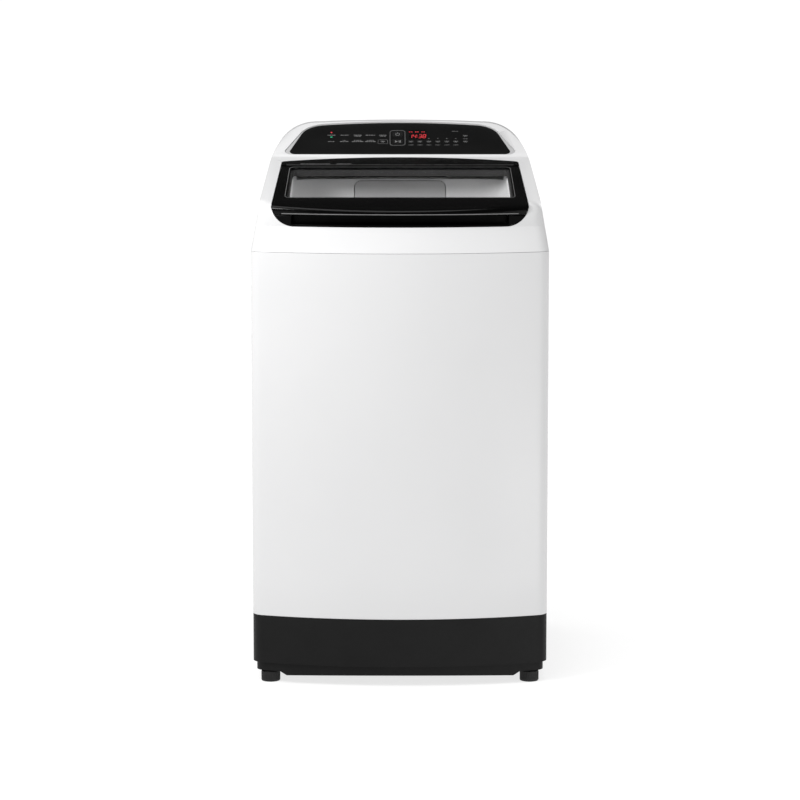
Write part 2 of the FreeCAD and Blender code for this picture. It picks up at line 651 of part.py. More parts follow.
def make_tub():
    wall = tube(TUB_R, TUB_R - WALL, TUB_BOTTOM, TUB_TOP)
    floor = tube(TUB_R, 34, TUB_BOTTOM, TUB_BOTTOM + 4)
    ears = []
    for x, y in rod_spots():
        angle = math.degrees(math.atan2(y, x))
        arm = box(TUB_R - 1.5, 325, -14, 14, EAR_Z[0], EAR_Z[1])
        rib = box(TUB_R - 1.5, 285, -2, 2, EAR_Z[1], 300)
        ear = union([arm, rib, box(TUB_R - 1.5, 285, -2, 2, EAR_Z[0] - 30, EAR_Z[0])])
        ears.append(ear.rotated(V(0, 0, 0), Z_AXIS, angle).cut(cylinder(6, 200, 300, x, y)))
    x, y = DRAIN_SPOT
    nozzle = tube(DRAIN_R, DRAIN_R - 3, 182, TUB_BOTTOM + 1, x, y)
    return union([wall, floor, nozzle] + ears).cut(cylinder(DRAIN_R - 3, 180, 230, x, y))


def make_tub_cover():
    ring = tube(TUB_R + 3, 198, TUB_TOP, TUB_TOP + 4)
    lip = tube(TUB_R + 3, TUB_R + 0.5, TUB_TOP - 14, TUB_TOP)
    bead = tube(202, 198, TUB_TOP + 4, TUB_TOP + 14)
    return union([ring, lip, bead])


def make_basket():
    return tube(BASKET_R, BASKET_R - 1.2, BASKET_BOTTOM + 8, BASKET_TOP - 26)


def make_basket_base():
    dish = tube(BASKET_R - 1.5, 16, BASKET_BOTTOM, BASKET_BOTTOM + 6)
    rim = tube(BASKET_R - 1.5, BASKET_R - 5, BASKET_BOTTOM, BASKET_BOTTOM + 40)
    return dish.fuse(rim)


def make_balance_ring():
    ring = tube(BASKET_R, 190, BASKET_TOP - 26, BASKET_TOP + 12)
    rims = [e for e in ring.Edges if e.BoundBox.ZMin > BASKET_TOP + 11]
    return ring.makeFillet(8.0, rims)


def make_hub_flange():
    disc = tube(58, 15.0, BASKET_BOTTOM - 14, BASKET_BOTTOM - 0.2)
    arms = [box(50, 205, -16, 16, BASKET_BOTTOM - 8, BASKET_BOTTOM - 0.2).rotated(V(0, 0, 0), Z_AXIS, 120 * k)
            for k in range(3)]
    return union([disc] + arms)


SPIN_R = 15.0
SHAFT_R = 7.95
SHAFT_BOTTOM = 98.0


PULSATOR_R = 165.0
PULSATOR_Z = (248.0, 253.0)
PULSATOR_FINS = 6


def make_pulsator():
    """A disc with a central dome and radial fins whose tops fall towards the rim."""
    low, high = PULSATOR_Z
    disc = cylinder(PULSATOR_R, low, high)
    dome = Part.makeCone(60, 34, 16, V(0, 0, high))
    fins = []
    for k in range(PULSATOR_FINS):
        fin = box(30, PULSATOR_R - 7, -6, 6, high - 1, high + 15)
        above = box(90, 200, -20, 20, 0, 60).rotated(V(0, 0, 0), Y_AXIS, 8).translated(V(0, 0, high + 19))
        fins.append(fin.cut(above).rotated(V(0, 0, 0), Z_AXIS, 360 / PULSATOR_FINS * k))
    return union([disc, dome] + fins).cut(cylinder(SHAFT_R + 0.05, low - 8, high + 9))


def make_bearing_housing():
    flange = tube(118, 34, 198, TUB_BOTTOM - 0.2)
    ribs = [box(30, 116, -3, 3, 165, 199).rotated(V(0, 0, 0), Z_AXIS, 60 * k + 30) for k in range(6)]
    sleeve = tube(38, 30.05, 142, 204)
    foot = tube(64, 30.05, 138, 143)
    return union([flange, sleeve, foot] + ribs).cut(cylinder(30.05, 100, 230))


def make_bearings():
    return group(tube(30.0, SPIN_R + 0.05, z, z + 14) for z in (148.0, 178.0))


def make_stator():
    core = tube(62, 40, 116, 137.8)
    teeth = [box(60, 98, -4, 4, 118, 136).rotated(V(0, 0, 0), Z_AXIS, 20 * k) for k in range(18)]
    return union([core] + teeth)


def make_rotor():
    """A shallow cup with a hub, held on the shaft by a nut."""
    bore = SHAFT_R + 0.03
    rim = tube(112, 106, 100, 138)
    floor = tube(112, bore, 100, 104)
    hub = tube(20, bore, 100, 112)
    nut = hexagon(24, 92, 100).cut(cylinder(bore, 80, 110))
    return union([rim, floor, hub, nut])


def make_lint_filter():
    ring = cylinder(BASKET_R - 1.6, 330, 520).cut(cylinder(BASKET_R - 13, 329, 521))
    return ring.common(box(150, 230, -48, 48, 330, 520))


# ---- water out, sensors, cord entry ----
PUMP_Z = (62.0, 118.0)
PUMP_NECK_TOP = 128.0
PIPE_R = 10.0
PIPE_Z = 95.0
FOLDS = 8
FOLD_PITCH = 6.75
SPIGOT_R = 11.0
SPIGOT_END = 282.0


def make_drain_pump():
    """The pump under the tub, with the pipe that runs back and up to the outlet."""
    x, y = DRAIN_SPOT
    body = rounded_box(x - 34, x + 34, y - 40, y + 40, PUMP_Z[0], PUMP_Z[1], 8)
    neck = cylinder(DRAIN_R + 2, PUMP_Z[1], PUMP_NECK_TOP, x, y)
    elbow = V(SPIGOT[0], REAR_SHEET_Y - 22, PIPE_Z)
    level = bar(PIPE_R, V(x, y + 36, PIPE_Z), elbow)
    rise = bar(PIPE_R, elbow, V(elbow.x, elbow.y, SPIGOT[1]))
    return union([body, neck, level, Part.makeSphere(PIPE_R, elbow), rise])


def make_drain_bellows():
    x, y = DRAIN_SPOT
    folds = []
    for k in range(FOLDS):
        start = PUMP_NECK_TOP + FOLD_PITCH * k
        folds.append(tube(DRAIN_R + 2 * (k % 2), DRAIN_R - 3, start, start + FOLD_PITCH, x, y))
    return union(folds)


def make_drain_spigot():
    face = V(SPIGOT[0], REAR_SHEET_Y + SHEET, SPIGOT[1])
    stub = Part.makeCylinder(SPIGOT_R, SPIGOT_END - face.y, face, Y_AXIS)
    collar = Part.makeCylinder(SPIGOT_R + 5, 3, face, Y_AXIS)
    bore = Part.makeCylinder(SPIGOT_R - 3, 60, V(face.x, face.y - 27, face.z), Y_AXIS)
    return stub.fuse(collar).cut(bore)


def make_gland():
    x, z = GLAND
    flange = Part.makeCylinder(9, 5, V(x, REAR_SHEET_Y + SHEET, z), Y_AXIS)
    sleeve = Part.makeCylinder(6.5, 16, V(x, REAR_SHEET_Y + SHEET, z), Y_AXIS)
    bore = Part.makeCylinder(GLAND_BORE_R, 60, V(x, 230, z), Y_AXIS)
    return flange.fuse(sleeve).cut(bore)


def main():
    os.makedirs("parts", exist_ok=True)
    outer = rounded_outer_body(NOSE_RADIUS)
    save("top_cover", make_top_cover(rounded_outer_body(SHOULDER_RADIUS)))
    save("opening_collar", make_collar())
    save("handle_recess_trim", make_handle_trim(outer))
    save("rear_trim_band", make_trim_band(outer))
    frame, glass, inner = make_lid(outer)
    save("lid_frame", frame)
    save("lid_glass", glass)
    save("lid_inner_frame", inner)
    save("hinge_pins", make_hinge_pins())
    save("lid_bumpers", make_bumpers())
    save("lid_sensor", make_lid_sensor())
    make_console()
    save("detergent_drawer", make_drawer())
    save("drawer_housing", make_drawer_housing())
    save("inlet_valves", make_inlet_valves())
    save("cabinet_shell", make_cabinet())
    save("rear_panel", make_rear_panel())
    save("rear_access_cover", make_access_cover())
    save("base_plinth", make_plinth())
    save("front_foot_left", make_foot(-FOOT_X, FOOT_FRONT_Y))
    save("front_foot_right", make_foot(FOOT_X, FOOT_FRONT_Y))
    save("rear_feet", group(make_foot(x, FOOT_REAR_Y) for x in (-FOOT_X, FOOT_X)))
    save("locknuts_and_screws", make_locknuts())
    save("corner_brackets", make_corner_brackets())
    save("suspension_rods", make_rods())
    save("suspension_springs", make_springs())
    save("spring_cups", make_cups())
    save("outer_tub", make_tub())
    save("tub_cover", make_tub_cover())
    save("basket", make_basket())
    save("basket_base", make_basket_base())
    save("balance_ring", make_balance_ring())
    save("hub_flange", make_hub_flange())
    save("spin_tube", tube(SPIN_R, SHAFT_R + 0.05, 144, BASKET_BOTTOM))
    save("pulsator", make_pulsator())
    save("drive_shaft", cylinder(SHAFT_R, SHAFT_BOTTOM, 261))
    save("rotor", make_rotor())
    save("stator", make_stator())
    save("bearing_housing", make_bearing_housing())
    save("bearings", make_bearings())
    save("shaft_seal", tube(30.0, SPIN_R + 0.1, 194, 203.5))
    save("lint_filter_right", make_lint_filter())
    save("lint_filter_left", mirrored(make_lint_filter()))
    save("drain_pump", make_drain_pump())
    save("drain_bellows", make_drain_bellows())
    save("drain_spigot", make_drain_spigot())
    save("cord_gland", make_gland())


main()
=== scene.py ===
import bmesh
import bpy
import json
import math
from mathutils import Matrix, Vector


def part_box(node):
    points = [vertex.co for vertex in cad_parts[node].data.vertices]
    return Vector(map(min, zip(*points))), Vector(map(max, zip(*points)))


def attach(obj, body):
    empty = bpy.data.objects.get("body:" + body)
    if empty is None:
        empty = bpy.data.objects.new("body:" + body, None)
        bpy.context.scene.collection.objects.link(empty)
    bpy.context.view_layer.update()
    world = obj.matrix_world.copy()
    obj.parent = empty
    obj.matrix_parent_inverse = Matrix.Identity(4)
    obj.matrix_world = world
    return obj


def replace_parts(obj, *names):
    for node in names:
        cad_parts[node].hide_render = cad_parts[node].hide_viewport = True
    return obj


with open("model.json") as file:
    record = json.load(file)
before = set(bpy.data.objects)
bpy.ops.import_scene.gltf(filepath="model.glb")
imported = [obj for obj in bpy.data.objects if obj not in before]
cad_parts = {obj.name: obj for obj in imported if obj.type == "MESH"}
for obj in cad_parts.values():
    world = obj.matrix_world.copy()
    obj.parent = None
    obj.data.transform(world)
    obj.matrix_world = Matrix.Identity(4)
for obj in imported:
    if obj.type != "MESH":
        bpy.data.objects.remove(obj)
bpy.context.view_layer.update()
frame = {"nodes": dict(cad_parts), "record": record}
NODES = frame["nodes"]
MM = 0.001               # lengths are in mm unless a name says otherwise; the frame is in metres

# ---- places read from the frame ----
cabinet_low, cabinet_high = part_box("cabinet_shell")
drum_low, drum_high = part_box("basket")
disc_low, disc_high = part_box("pulsator")
rear_low, rear_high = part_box("rear_panel")


# ---- materials ----
def ramp(tree, source, low, high, low_at=0.35, high_at=0.65):
    """Colours between two close tones, by a noise value."""
    node = tree.nodes.new("ShaderNodeValToRGB")
    node.color_ramp.elements[0].position = low_at
    node.color_ramp.elements[1].position = high_at
    node.color_ramp.elements[0].color = (*low, 1)
    node.color_ramp.elements[1].color = (*high, 1)
    tree.links.new(source, node.inputs["Fac"])
    return node.outputs["Color"]


def spread(tree, source, low, high):
    """A value between two limits, by a noise value."""
    node = tree.nodes.new("ShaderNodeMapRange")
    node.inputs["From Min"].default_value = 0.3
    node.inputs["From Max"].default_value = 0.7
    node.inputs["To Min"].default_value = low
    node.inputs["To Max"].default_value = high
    tree.links.new(source, node.inputs["Value"])
    return node.outputs["Result"]


def noise(tree, scale, detail=3.0, stretch=(1, 1, 1)):
    """A noise value over the piece's own coordinates."""
    place = tree.nodes.new("ShaderNodeTexCoord")
    mapping = tree.nodes.new("ShaderNodeMapping")
    mapping.inputs["Scale"].default_value = stretch
    texture = tree.nodes.new("ShaderNodeTexNoise")
    texture.inputs["Scale"].default_value = scale
    texture.inputs["Detail"].default_value = detail
    tree.links.new(place.outputs["Object"], mapping.inputs["Vector"])
    tree.links.new(mapping.outputs["Vector"], texture.inputs["Vector"])
    return texture.outputs["Fac"]


def surface(name, low, high, rough, tone_scale=6.0, grain_scale=400.0, grain_depth=0.00001,
            stretch=(1, 1, 1), **sockets):
    """A Principled material with mottled tone and roughness, and a fine grain, its depth in metres."""
    material = bpy.data.materials.new(name)
    material.use_nodes = True
    tree = material.node_tree
    shader = tree.nodes["Principled BSDF"]
    tone = noise(tree, tone_scale, 4.0)
    tree.links.new(ramp(tree, tone, low, high), shader.inputs["Base Color"])
    streaks = noise(tree, grain_scale * 0.25, 3.0, stretch)
    tree.links.new(spread(tree, streaks, rough[0], rough[1]), shader.inputs["Roughness"])
    bump = tree.nodes.new("ShaderNodeBump")
    bump.inputs["Strength"].default_value = 0.5
    bump.inputs["Distance"].default_value = grain_depth
    tree.links.new(noise(tree, grain_scale, 2.0, stretch), bump.inputs["Height"])
    tree.links.new(bump.outputs["Normal"], shader.inputs["Normal"])
    for socket, value in sockets.items():
        shader.inputs[socket.replace("_", " ")].default_value = value
    return material


def grey(value, tint=0.0):
    return (value, value, value + tint)


WHITE_PAINT = surface("white_paint", grey(0.555, 0.003), grey(0.570, 0.003), (0.30, 0.38), 3.0, 350.0,
                      0.000003, Specular_IOR_Level=0.35)
WHITE_PLASTIC = surface("white_plastic", grey(0.555, 0.003), grey(0.570, 0.003), (0.30, 0.40), 5.0, 500.0,
                        0.000003, Specular_IOR_Level=0.35)
LIGHT_GREY = surface("light_grey_plastic", grey(0.78, 0.004), grey(0.82, 0.004), (0.34, 0.44), 8.0, 600.0,
                     0.000005)
GREY_PLASTIC = surface("grey_plastic", grey(0.60, 0.004), grey(0.64, 0.004), (0.36, 0.48), 8.0, 600.0,
                       0.000005)
BLACK_GLOSS = surface("black_gloss", grey(0.0010), grey(0.0016), (0.10, 0.16), 10.0, 250.0, 0.000002,
                      Specular_IOR_Level=0.16)
DARK_PLASTIC = surface("dark_plastic", grey(0.030), grey(0.040), (0.38, 0.5), 12.0, 700.0)
BLACK_PLASTIC = surface("black_plastic", grey(0.0045), grey(0.0060), (0.42, 0.54), 9.0, 900.0, 0.000012,
                        Specular_IOR_Level=0.16)
KEY_PLASTIC = surface("key_plastic", grey(0.008), grey(0.011), (0.22, 0.30), 20.0, 900.0, 0.000004,
                      Specular_IOR_Level=0.25)
BOARD = surface("circuit_board", (0.01, 0.08, 0.03), (0.02, 0.12, 0.05), (0.3, 0.4), 40.0, 300.0, 0.00004)
TUB_PLASTIC = surface("tub_plastic", grey(0.62), grey(0.66), (0.36, 0.48), 7.0, 500.0)
STAINLESS = surface("stainless", grey(0.58), grey(0.64), (0.24, 0.34), 9.0, 900.0, 0.000004, (1, 1, 14),
                    Metallic=1.0)
GALVANISED = surface("galvanised_sheet", grey(0.52), grey(0.58), (0.36, 0.44), 120.0, 260.0, 0.000004,
                     Metallic=1.0)
STEEL = surface("steel", grey(0.44), grey(0.55), (0.24, 0.38), 30.0, 700.0, 0.00001, Metallic=1.0)
ALUMINIUM = surface("aluminium", grey(0.55), grey(0.63), (0.38, 0.52), 30.0, 350.0, 0.00006, Metallic=1.0)
MOTOR_IRON = surface("motor_iron", (0.16, 0.07, 0.03), (0.30, 0.13, 0.05), (0.3, 0.45), 60.0, 900.0, 0.00005,
                     (1, 1, 6), Metallic=0.6)
RUBBER = surface("rubber", grey(0.022), grey(0.030), (0.5, 0.65), 20.0, 800.0, 0.00004)
FOOT_RUBBER = surface("black_rubber_foot", grey(0.008), grey(0.012), (0.5, 0.62), 25.0, 900.0, 0.00002,
                      Specular_IOR_Level=0.3)
PANEL_BLACK = surface("panel_black", grey(0.0035), grey(0.0050), (0.34, 0.40), 14.0, 800.0, 0.000003,
                      Specular_IOR_Level=0.2)
TINTED_GLASS = surface("tinted_glass", grey(0.02), grey(0.03), (0.02, 0.05), 12.0, 120.0, 0.000002,
                       Alpha=0.06)
DISPLAY_GLASS = surface("display_glass", grey(0.004), grey(0.006), (0.05, 0.09), 12.0, 120.0, 0.000002,
                        Alpha=0.85)
PRINT_GREY = surface("print_grey", grey(0.10), grey(0.14), (0.45, 0.55), 60.0, 1500.0, 0.000002)
PRINT_PALE = surface("print_pale", grey(0.12), grey(0.16), (0.4, 0.5), 60.0, 1500.0, 0.000002)
RECESS_BLACK = surface("recess_black", grey(0.0010), grey(0.0016), (0.30, 0.38), 10.0, 250.0, 0.000002,
                       Specular_IOR_Level=0.06)
# the collar's own pale grey, lifted well above the other grey plastic parts: painted light on the inside of
# the opening, which little light reaches
COLLAR_GREY_PAINTED_LIGHT = surface("collar_grey_painted_light", grey(0.84, 0.004), grey(0.88, 0.004), (0.36, 0.48), 8.0, 600.0,
                      0.000005)
# a dark grey on the console's bevel, which is white plastic: painted shade standing in for the shade that
# falls in the recess
BEZEL_PAINTED_SHADE = surface("bezel_painted_shade", grey(0.36, 0.003), grey(0.38, 0.003), (0.34, 0.42), 6.0, 500.0, 0.000003,
                      Specular_IOR_Level=0.3)
# grey for the printed outlines, the window bead, and the strips that paint highlights on the lid's nose and
# the rear band
RIM_GREY = surface("rim_grey", grey(0.12), grey(0.15), (0.25, 0.35), 30.0, 900.0, 0.000003)


def lamp_material(name, colour, strength):
    """A glowing plastic; its unlit tone varies between half the colour and the colour."""
    return surface(name, tuple(c * 0.5 for c in colour), colour, (0.3, 0.4), 80.0, 1500.0, 0.000002,
                   Emission_Color=(*colour, 1), Emission_Strength=strength)


RED_LIGHT = lamp_material("red_light", (0.55, 0.03, 0.04), 0.28)
GREEN_LIGHT = lamp_material("green_light", (0.02, 0.45, 0.22), 0.35)

SLOT_MATERIALS = {
    "white_paint": WHITE_PAINT, "white_plastic": WHITE_PLASTIC, "light_grey_plastic": LIGHT_GREY,
    "grey_plastic": GREY_PLASTIC, "black_gloss": BLACK_GLOSS, "dark_plastic": DARK_PLASTIC,
    "black_plastic": BLACK_PLASTIC, "key_plastic": KEY_PLASTIC, "tinted_glass": TINTED_GLASS,
    "display_glass": DISPLAY_GLASS, "circuit_board": BOARD, "tub_plastic": TUB_PLASTIC,
    "stainless": STAINLESS, "galvanised_sheet": GALVANISED, "steel": STEEL, "aluminium": ALUMINIUM,
    "motor_iron": MOTOR_IRON, "rubber": RUBBER, "black_rubber_foot": FOOT_RUBBER,
}
NODE_SLOT = {part["node"]: part["material_slot"] for part in frame["record"]["subparts"]}
for node, slot in NODE_SLOT.items():
    slots = NODES[node].data.materials
    slots.clear()
    slots.append(SLOT_MATERIALS[slot])

# nodes whose finish differs from the other nodes of their slot; for the bezel and the collar the difference
# is painted shade and painted light
NODES["console_panel"].data.materials[0] = PANEL_BLACK
# the bezel's grey is painted shade
NODES["console_bezel"].data.materials[0] = BEZEL_PAINTED_SHADE
# the collar's lifted grey is partly painted light
NODES["opening_collar"].data.materials[0] = COLLAR_GREY_PAINTED_LIGHT
NODES["handle_recess_trim"].data.materials[0] = RECESS_BLACK
# the thin glass neither dims the opening below it nor throws a shadow into it
NODES["lid_glass"].visible_diffuse = False
NODES["lid_glass"].visible_shadow = False


# ---- small rounded edges on the CAD pieces ----
WELD_DISTANCE_M = 0.000005
FLAT_ANGLE = math.radians(0.05)      # facets closer than this to one plane are joined
BEVEL_ANGLE = math.radians(28.0)
SPLIT_ANGLE = math.radians(19.0)     # sharper edges than this stay crisp


def soften(node, width):
    """Join flat facets, then round the sharp edges by a width in metres."""
    piece = NODES[node]
    for polygon in piece.data.polygons:
        polygon.use_smooth = True
    merge = piece.modifiers.new("weld", "WELD")
    merge.merge_threshold = WELD_DISTANCE_M
    flat = piece.modifiers.new("flat", "DECIMATE")
    flat.decimate_type = "DISSOLVE"
    flat.angle_limit = FLAT_ANGLE
    edge = piece.modifiers.new("edge", "BEVEL")
    edge.width = width
    edge.segments = 2
    edge.limit_method = "ANGLE"
    edge.angle_limit = BEVEL_ANGLE
    edge.use_clamp_overlap = True
    crisp = piece.modifiers.new("crisp", "EDGE_SPLIT")
    crisp.split_angle = SPLIT_ANGLE
    crisp.use_edge_sharp = False


# node: width of its rounded edges
SOFT_EDGES = {"top_cover": 1.6, "lid_frame": 1.2, "rear_trim_band": 0.8, "handle_recess_trim": 1.2,
              "console_panel": 0.4, "console_bezel": 0.8, "opening_collar": 1.0, "detergent_drawer": 1.0,
              "drawer_housing": 0.8, "base_plinth": 1.5, "rear_access_cover": 0.5, "outer_tub": 1.0,
              "balance_ring": 0.5, "tub_cover": 0.6, "inlet_valves": 0.4, "drain_pump": 0.6}
for node, width in SOFT_EDGES.items():
    soften(node, width * MM)


# ---- mesh helpers ----
def add_piece(name, bm, material, body, smooth_angle=35.0):
    """Make one object of a finished bmesh, smooth it and tie it to its body and material slot."""
    bmesh.ops.recalc_face_normals(bm, faces=bm.faces)
    mesh = bpy.data.meshes.new(name)
    limit = math.radians(smooth_angle)
    for edge in bm.edges:
        edge.smooth = len(edge.link_faces) == 2 and edge.calc_face_angle(0.0) < limit
    for face in bm.faces:
        face.smooth = True
    bm.to_mesh(mesh)
    bm.free()
    mesh.materials.append(material)
    piece = bpy.data.objects.new(name, mesh)
    bpy.context.scene.collection.objects.link(piece)
    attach(piece, body)
    return piece


def flat_place(x, y, z):
    """From mm to the frame in metres."""
    return Vector((x, y, z)) * MM


# slopes of the lid and the console: origin (y, z) and angle
LID_PLANE = (-245.0, 871.0, math.atan2(71.5, 345.0))
PANEL_PLANE = (112.0, 949.0, math.atan2(54.0, 108.0))


def slope_place(plane):
    """From (across, along the slope, out of the slope) in mm to the frame in metres."""
    y0, z0, angle = plane

    def place(u, v, n):
        y = y0 + v * math.cos(angle) - n * math.sin(angle)
        z = z0 + v * math.sin(angle) + n * math.cos(angle)
        return Vector((u, y, z)) * MM
    return place


on_lid = slope_place(LID_PLANE)
on_panel = slope_place(PANEL_PLANE)


def rounded_outline(x, y, half_x, half_y, radius, steps=4):
    """A rectangle's outline with rounded corners, as a list of points."""
    radius = min(radius, half_x, half_y)
    points = []
    for corner in range(4):
        sx = 1 if corner in (0, 3) else -1
        sy = 1 if corner in (0, 1) else -1
        cx = x + sx * (half_x - radius)
        cy = y + sy * (half_y - radius)
        for k in range(steps + 1):
            angle = math.pi / 2 * (corner + k / steps)
            points.append((cx + radius * math.cos(angle), cy + radius * math.sin(angle)))
    return points


def raise_outline(bm, outline, n0, n1, place, crown=0.0):
    """A thin closed plate over an outline; crown draws its upper rim in towards the middle."""
    cx = sum(p[0] for p in outline) / len(outline)
    cy = sum(p[1] for p in outline) / len(outline)
    low = [bm.verts.new(place(u, v, n0)) for u, v in outline]
    high = [bm.verts.new(place(u + (cx - u) * crown, v + (cy - v) * crown, n1)) for u, v in outline]
    count = len(outline)
    bm.faces.new(high)
    bm.faces.new(list(reversed(low)))
    for k in range(count):
        bm.faces.new((low[k], low[(k + 1) % count], high[(k + 1) % count], high[k]))


def raise_ring(bm, outer, inner, n0, n1, place):
    """A thin closed frame between two outlines with the same number of points."""
    rings = [[bm.verts.new(place(u, v, n)) for u, v in line]
             for line, n in ((outer, n0), (outer, n1), (inner, n1), (inner, n0))]
    count = len(outer)
    for a, b in ((0, 1), (1, 2), (2, 3), (3, 0)):
        for k in range(count):
            j = (k + 1) % count
            bm.faces.new((rings[a][k], rings[a][j], rings[b][j], rings[b][k]))


def loft_rows(bm, rows, closed_rows=True, closed_ends=False):
    """Quads between successive rows of points that all have the same number of points."""
    made = [[bm.verts.new(p) for p in row] for row in rows]
    count = len(made[0])
    last = count if closed_rows else count - 1
    pairs = list(zip(made, made[1:]))
    if closed_ends:
        pairs.append((made[-1], made[0]))
    for near, far in pairs:
        for k in range(last):
            j = (k + 1) % count
            bm.faces.new((near[k], near[j], far[j], far[k]))
    return made


def lathe(bm, profile, x, y, steps=48, flutes=0, flute_depth=0.0, flute_rows=()):
    """Turn a profile of (radius, z) about a vertical axis, with grip flutes on the chosen rows."""
    rows = []
    for index, (radius, z) in enumerate(profile):
        row = []
        for k in range(steps):
            angle = 2 * math.pi * k / steps
            depth = flute_depth * (0.5 - 0.5 * math.cos(flutes * angle)) if index in flute_rows else 0.0
            r = max(radius - depth, 0.05)
            row.append(flat_place(x + r * math.cos(angle), y + r * math.sin(angle), z))
        rows.append(row)
    made = loft_rows(bm, rows)
    bm.faces.new(list(reversed(made[0])))
    bm.faces.new(made[-1])


# ---- painted cabinet: bowed steel wrap with rolled edges ----
BOW_R = 800.0            # radius of the bowed front, in plan
CORNER_R = 26.0          # front corners, in plan
REAR_SHEET_Y = 256.0     # where the wrap ends and the rear sheet begins
SHEET = 1.2
ROLL = 1.3               # radius of the rolled edges
HEM = 8.0                # inward hem behind a rolled edge
FLANGE = (246.0, 268.7)  # rear flanges, from inner to outer side


def bowed_path(inset, z, bow_steps=48, corner_steps=10):
    """Plan path of the cabinet from its rear left edge round the bowed front to its rear right edge."""
    half = cabinet_high.x / MM - inset
    front = cabinet_low.y / MM + inset
    rear = REAR_SHEET_Y
    corner = CORNER_R - inset
    reach = math.sqrt((BOW_R - corner) ** 2 - (half - corner) ** 2)
    corner_y = front + BOW_R - reach
    swing = math.asin((half - corner) / (BOW_R - corner))
    right = [(half, rear - (rear - corner_y) * k / 6) for k in range(6)]
    for k in range(corner_steps + 1):
        angle = -(math.pi / 2 - swing) * k / corner_steps
        right.append((half - corner + corner * math.cos(angle), corner_y + corner * math.sin(angle)))
    for k in range(1, bow_steps):
        angle = swing * (1 - 2 * k / bow_steps)
        right.append((BOW_R * math.sin(angle), front + BOW_R - BOW_R * math.cos(angle)))
    left = [(-x, y) for x, y in reversed(right[:6 + corner_steps + 1])]
    return [flat_place(x, y, z) for x, y in right + left]


def make_cabinet_skin():
    """The painted wrap, from a profile of (inset, z) that closes on itself, and its rear flanges."""
    low, high = cabinet_low.z / MM, cabinet_high.z / MM
    top = high - 0.4
    quarter = [math.pi / 2 * k / 4 for k in range(5)]
    profile = [(ROLL * (1 - math.sin(angle)), low + ROLL * (1 - math.cos(angle))) for angle in quarter]
    profile += [(0.0, low + (high - low) * k / 9) for k in range(1, 9)]
    profile += [(ROLL * (1 - math.cos(angle)), top - ROLL * (1 - math.sin(angle))) for angle in quarter]
    profile += [(ROLL + HEM, top), (ROLL + HEM, top - SHEET), (ROLL, top - SHEET),
                (SHEET, high - ROLL - 3.0), (SHEET, low + ROLL + 3.0), (ROLL, low + SHEET),
                (ROLL + HEM, low + SHEET), (ROLL + HEM, low)]
    bm = bmesh.new()
    rows = [bowed_path(inset, z) for inset, z in profile]
    made = loft_rows(bm, rows, closed_rows=False, closed_ends=True)
    for end in (0, -1):
        bm.faces.new([row[end] for row in made])
    for side in (-1, 1):
        inner, outer = FLANGE
        back, front = REAR_SHEET_Y, REAR_SHEET_Y - SHEET
        outline = [(side * x, y) for x, y in ((inner, front), (outer, front), (outer, back), (inner, back))]
        raise_outline(bm, outline, low + 2, high - 2, flat_place)
    piece = add_piece("cabinet_skin", bm, WHITE_PAINT, "cabinet", 40.0)
    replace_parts(piece, "cabinet_shell")


# ---- wash drum with pressed pillows and drain holes ----
FILTER_SIDE = 0.955      # cosine of the angle where the wall turns flat beside a lint filter
FILTER_Z = (318, 532)
RIM_FADE = 24.0          # height over which the pillows die out at both rims


def make_drum():
    """One cell per pillow, each with an eight-sided eye that is a hole in every other cell."""
    z0, z1 = drum_low.z / MM, drum_high.z / MM
    radius = drum_high.x / MM - 0.7
    around, rows = 64, 17
    hole = 2.2               # radius
    pillow = 2.2             # depth
    bm = bmesh.new()
    cell_w = 2 * math.pi / around
    cell_h = (z1 - z0) / rows

    def wall_point(angle, z):
        side = abs(math.cos(angle))
        near_filter = side > FILTER_SIDE and FILTER_Z[0] < z < FILTER_Z[1]
        wave = abs(math.sin(around * angle / 4) * math.sin(math.pi * (z - z0) / (2 * cell_h)))
        ends = min(1.0, (z - z0) / RIM_FADE, (z1 - z) / RIM_FADE)
        depth = 0.0 if near_filter else pillow * wave * max(ends, 0.0)
        r = radius - depth
        return flat_place(r * math.cos(angle), r * math.sin(angle), z)

    seen = {}

    def vertex(angle, z):
        key = (round(math.cos(angle), 6), round(math.sin(angle), 6), round(z, 4))
        if key not in seen:
            seen[key] = bm.verts.new(wall_point(angle, z))
        return seen[key]

    for i in range(around):
        for j in range(rows):
            a, z = (i + 0.5) * cell_w, z0 + (j + 0.5) * cell_h
            rim, eye = [], []
            for k in range(8):
                turn = 2 * math.pi * k / 8
                cu, cv = math.cos(turn), math.sin(turn)
                square = 1.0 / max(abs(cu), abs(cv))
                rim.append(vertex(a + cu * square * cell_w / 2, z + cv * square * cell_h / 2))
                eye.append(bm.verts.new(wall_point(a + hole * cu / radius, z + hole * cv)))
            pierced = 0 < j < rows - 1 and (i + j) % 2 == 0
            for k in range(8):
                bm.faces.new((rim[k], rim[(k + 1) % 8], eye[(k + 1) % 8], eye[k]))
            if not pierced:
                bm.faces.new(eye)
    piece = add_piece("wash_drum_skin", bm, STAINLESS, "basket", 60.0)
    wall = piece.modifiers.new("wall", "SOLIDIFY")
    wall.thickness = 0.8 * MM
    wall.offset = 0.0
    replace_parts(piece, "basket")


# ---- pulsator with six swept vanes and a raised cap ----
def smooth_step(value, low, high):
    """0 below low, 1 above high, and a smooth rise between them."""
    x = min(max((value - low) / (high - low), 0.0), 1.0)
    return x * x * (3 - 2 * x)


VANES = 6
VANE_HEIGHT = 11.5
VANE_SWEEP = 0.55        # radians
RIPPLES = 36
RIPPLE_HEIGHT = 0.9
DISC_RISE = 5.0          # height of the disc's upper face


